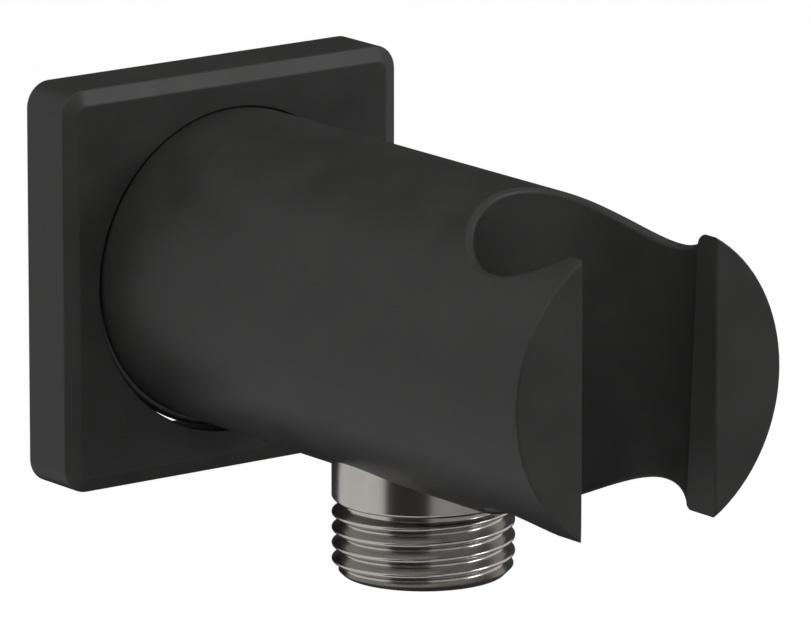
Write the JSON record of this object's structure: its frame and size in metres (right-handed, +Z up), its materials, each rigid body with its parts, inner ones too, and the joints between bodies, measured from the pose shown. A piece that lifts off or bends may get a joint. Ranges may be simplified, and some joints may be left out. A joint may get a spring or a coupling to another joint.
{
  "type": "wall outlet elbow",
  "caption": "Wall outlet elbow for a shower hose: round satin black body on a square wall plate, with a slotted conical cradle for a hand shower and a threaded nipple below.",
  "frame": {"origin": "axis of the round body, in the plane of the wall, which is the back of the wall plate", "axes": "X right along the wall, +Y into the wall along the inlet thread, Z up along the cradle"},
  "size_m": [0.0474, 0.0996, 0.0524],
  "materials": {
    "satin_black": "satin black coating on cast brass",
    "nickel_plate": "bright nickel",
    "foam": "closed cell foam",
    "seal_rubber": "smooth black",
    "washer_rubber": "matt black",
    "valve_plastic": "natural acetal",
    "spring_steel": "stainless wire"
  },
  "bodies": {
    "fitting": {"holder_body": "satin_black", "wall_plate": "satin_black", "wall_gasket": "foam", "plate_ring": "seal_rubber", "inlet_nipple": "nickel_plate", "inlet_washer": "washer_rubber", "inlet_ring": "seal_rubber", "outlet_nipple": "nickel_plate", "outlet_ring": "seal_rubber", "valve_housing": "valve_plastic", "valve_ring": "seal_rubber", "valve_spring": "spring_steel", "valve_guide": "valve_plastic"},
    "poppet": {"valve_poppet": "valve_plastic", "poppet_seal": "seal_rubber"}
  },
  "joints": [
    {"name": "valve_lift", "type": "slide", "parent": "fitting", "child": "poppet", "axis": [0, 0, -1], "range_m": [0, 0.0022], "stiffness_N_per_m": 60, "springref_m": -0.002, "deforming": ["valve_spring"]}
  ]
}
